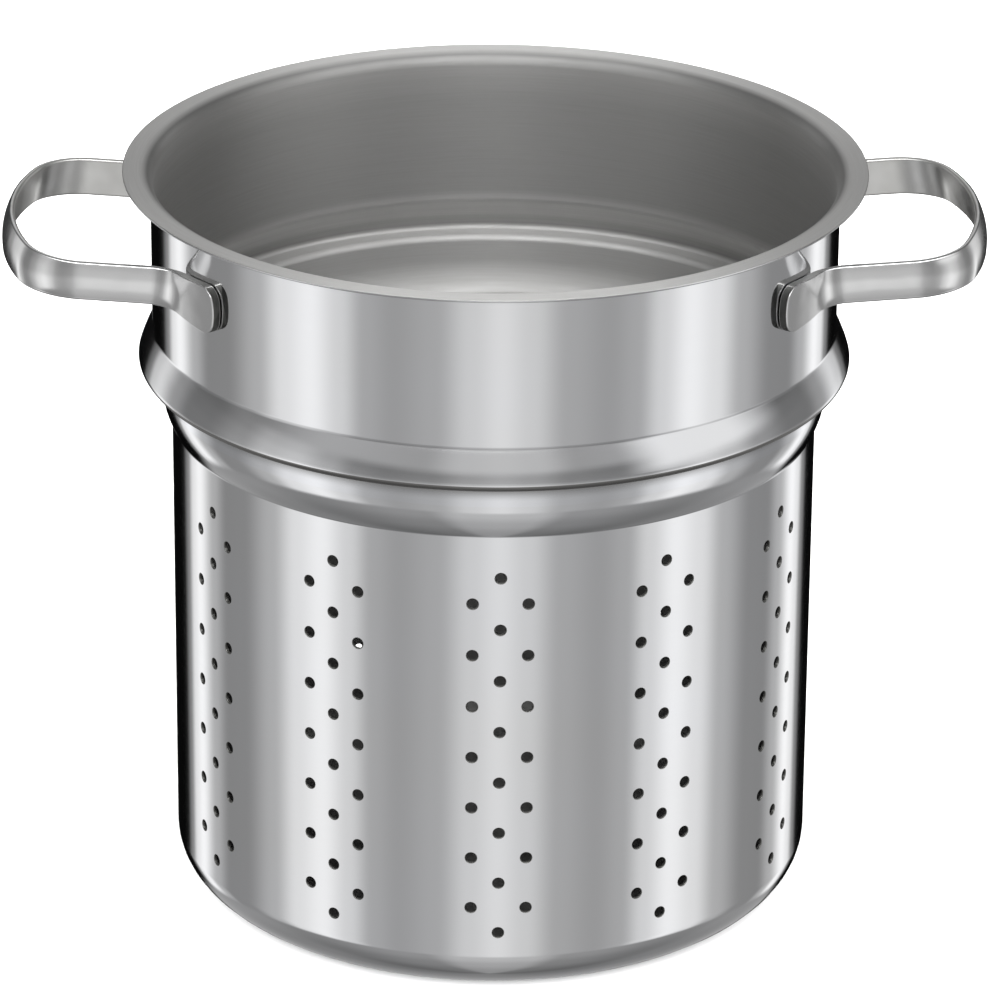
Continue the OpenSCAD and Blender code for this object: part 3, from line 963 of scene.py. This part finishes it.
def light_tent():
    """A white tent with soft strips of light and dark cards. Polished steel sees the strips,
    the matt floor sees an even white."""
    world = bpy.data.worlds.new("light_tent")
    bpy.context.scene.world = world
    world.use_nodes = True
    tree = world.node_tree
    tree.nodes.clear()
    way = add(tree, "ShaderNodeTexCoord").outputs["Generated"]
    xyz = add(tree, "ShaderNodeSeparateXYZ", {0: way})
    front = add(tree, "ShaderNodeMath", {0: xyz.outputs["Y"], 1: -1}, operation="MULTIPLY")
    turn = add(tree, "ShaderNodeMath", {0: xyz.outputs["X"], 1: front}, operation="ARCTAN2")
    turned = add(tree, "ShaderNodeMath", {0: turn, 1: TENT_TURN}, operation="SUBTRACT")
    side = add(tree, "ShaderNodeMath", {0: turned}, operation="ABSOLUTE")
    share = add(tree, "ShaderNodeMath", {0: side, 1: math.pi}, operation="DIVIDE")
    height = add(tree, "ShaderNodeMapRange", {"Value": xyz.outputs["Z"], "From Min": -1})

    def lit(round_values, height_values):
        """Brightness round the object, dimmed by height."""
        around = add(tree, "ShaderNodeValToRGB", {0: share}, stops=round_stops(round_values))
        level = add(tree, "ShaderNodeValToRGB", {0: height}, stops=height_stops(height_values))
        return add(tree, "ShaderNodeMix", {0: 1.0, "A": around, "B": level},
                   data_type="RGBA", blend_type="MULTIPLY")

    def above(angles, under, over):
        """Goes over from one part of the tent to the next between two angles of height."""
        low, high = (math.sin(math.radians(a)) for a in angles)
        part = add(tree, "ShaderNodeMapRange",
                   {"Value": xyz.outputs["Z"], "From Min": low, "From Max": high},
                   interpolation_type="SMOOTHSTEP")
        return add(tree, "ShaderNodeMix", {0: part, "A": under, "B": over}, data_type="RGBA")

    table, strips = lit(TABLE_ROUND, TABLE_HEIGHT), lit(STRIPS_ROUND, STRIPS_HEIGHT)
    gap = add(tree, "ShaderNodeValToRGB", {0: share}, stops=round_stops(GAP_ROUND))
    tent = above(GAP_START, above(STRIPS_START, table, strips), gap)
    spread = add(tree, "ShaderNodeValToRGB", {0: share}, stops=round_stops(LAMP_ROUND))
    right = add(tree, "ShaderNodeMath", {0: xyz.outputs["X"], 1: 0}, operation="GREATER_THAN")
    part = add(tree, "ShaderNodeMath", {0: right, 1: spread}, operation="MULTIPLY")
    lamp = add(tree, "ShaderNodeMix", {0: part, "A": tent, "B": grey(LAMP_GREY)}, data_type="RGBA")
    hood = add(tree, "ShaderNodeMix", {0: 1.0, "A": lit(HOOD_ROUND, HOOD_HEIGHT),
                                       "B": (HOOD_LIGHT, HOOD_LIGHT, HOOD_LIGHT, 1)},
               data_type="RGBA", blend_type="MULTIPLY")
    tent = above(HOOD_START, above(LAMP_START, tent, lamp), hood)
    path = add(tree, "ShaderNodeLightPath")
    gloss = add(tree, "ShaderNodeBackground", {"Color": tent, "Strength": GLOSS_LIGHT})
    plain = add(tree, "ShaderNodeBackground", {"Color": (1, 1, 1, 1), "Strength": FLOOR_LIGHT})
    seen = add(tree, "ShaderNodeMixShader", {0: path.outputs["Is Glossy Ray"], 1: plain,
                                             2: gloss})
    add(tree, "ShaderNodeOutputWorld", {"Surface": seen})


def paper_floor(finish, size):
    """Matt white paper under the object. Steel mirrors the tent's own table in its place."""
    material, tree = new_material("matt_paper")
    place = add(tree, "ShaderNodeTexCoord").outputs["Object"]
    # Paper fibre, about 1 mm
    fibre = add(tree, "ShaderNodeTexNoise", {"Vector": place, "Scale": 1000, "Detail": 2})
    rough = add(tree, "ShaderNodeMapRange", {"Value": fibre, "To Min": 0.85, "To Max": 1})
    shader = add(tree, "ShaderNodeBsdfDiffuse",
                 {"Color": linear(finish.floor), "Roughness": rough})
    add(tree, "ShaderNodeOutputMaterial", {"Surface": shader})
    bm = bmesh.new()
    bmesh.ops.create_grid(bm, x_segments=1, y_segments=1, size=size / 2)
    floor = finish_piece(bm, "floor", [material])
    floor.visible_glossy = False


# The camera's sensor in mm, how far it sees in metres, and the photo's small pan and roll in
# radians
SENSOR = 36
SIGHT = 50
PAN = -0.00117
ROLL = 0.00797


def place_camera(stage):
    """The camera on the photo's spot, turned and tilted as the photo's was."""
    camera = bpy.data.objects.new("camera", bpy.data.cameras.new("camera"))
    camera.data.sensor_width = SENSOR
    camera.data.lens = stage.lens
    camera.data.clip_end = SIGHT
    camera.location = (stage.distance * math.sin(stage.turn),
                       -stage.distance * math.cos(stage.turn), stage.height)
    turns = (Matrix.Rotation(stage.turn, 4, "Z")
             @ Matrix.Rotation(math.pi / 2 - stage.tilt, 4, "X")
             @ Matrix.Rotation(PAN, 4, "Y") @ Matrix.Rotation(ROLL, 4, "Z"))
    camera.rotation_euler = turns.to_euler()
    bpy.context.scene.collection.objects.link(camera)
    bpy.context.scene.camera = camera


# Operators and panel


def shared_sheet(scene):
    """The sheet with the sizes that the scene holds."""
    return Sheet(scene.strainer_sheet, scene.strainer_holes)


class STRAINER_OT_body(bpy.types.Operator):
    """Spin the pressed sheet and punch its drain holes"""

    bl_idname = "strainer.body"
    bl_label = "Body"

    def execute(self, context):
        scene = context.scene
        finish = scene.strainer_finish
        materials = [polished_steel(finish), satin_steel(finish), cut_steel(finish),
                     scuffed_and_shaded_steel(finish)]
        piece = build_body(shared_sheet(scene), materials)
        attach(piece, "root")
        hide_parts("strainer_body")
        return {"FINISHED"}


class STRAINER_OT_handles(bpy.types.Operator):
    """Bend the two strap handles"""

    bl_idname = "strainer.handles"
    bl_label = "Handles"

    def execute(self, context):
        scene = context.scene
        strap = Strap(shared_sheet(scene), scene.strainer_handle)
        finish = scene.strainer_finish
        materials = [handle_steel(finish), ground_steel(finish), cut_steel(finish)]
        for name, side in (("right", 1), ("left", -1)):
            piece = build_handle(strap, f"strap_{name}", side, materials)
            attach(piece, "root")
            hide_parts(f"handle_{name}")
        return {"FINISHED"}


class STRAINER_OT_welds(bpy.types.Operator):
    """Give the welds between feet and collar their finish"""

    bl_idname = "strainer.welds"
    bl_label = "Welds"

    def execute(self, context):
        material = weld_steel(context.scene.strainer_finish)
        for name in ("handle_welds_left", "handle_welds_right"):
            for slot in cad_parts[name].material_slots:
                slot.material = material
        return {"FINISHED"}


class STRAINER_OT_stage(bpy.types.Operator):
    """Set up the floor, the light tent and the camera"""

    bl_idname = "strainer.stage"
    bl_label = "Stage"

    def execute(self, context):
        scene = context.scene
        paper_floor(scene.strainer_finish, scene.strainer_stage.floor_size)
        light_tent()
        place_camera(scene.strainer_stage)
        scene.view_settings.view_transform = "Standard"
        return {"FINISHED"}


OPERATORS = (STRAINER_OT_body, STRAINER_OT_handles, STRAINER_OT_welds, STRAINER_OT_stage)


class STRAINER_PT_panel(bpy.types.Panel):
    bl_idname = "STRAINER_PT_panel"
    bl_label = "Strainer Insert"
    bl_space_type = "VIEW_3D"
    bl_region_type = "UI"
    bl_category = "Strainer"

    def draw(self, context):
        layout = self.layout
        for operator in OPERATORS:
            layout.operator(operator.bl_idname)
        for name in PROPERTIES:
            group = getattr(context.scene, name)
            box = layout.box()
            for key in group.bl_rna.properties.keys():
                if key not in {"rna_type", "name"}:
                    box.prop(group, key)


def register():
    for cls in (*PROPERTIES.values(), *OPERATORS, STRAINER_PT_panel):
        bpy.utils.register_class(cls)
    for name, cls in PROPERTIES.items():
        setattr(bpy.types.Scene, name, PointerProperty(type=cls))


def unregister():
    for name in PROPERTIES:
        delattr(bpy.types.Scene, name)
    for cls in reversed((*PROPERTIES.values(), *OPERATORS, STRAINER_PT_panel)):
        bpy.utils.unregister_class(cls)


def main():
    """Builds the pieces and the stage."""
    register()
    bpy.ops.strainer.body()
    bpy.ops.strainer.handles()
    bpy.ops.strainer.welds()
    bpy.ops.strainer.stage()


if __name__ == "__main__":
    main()
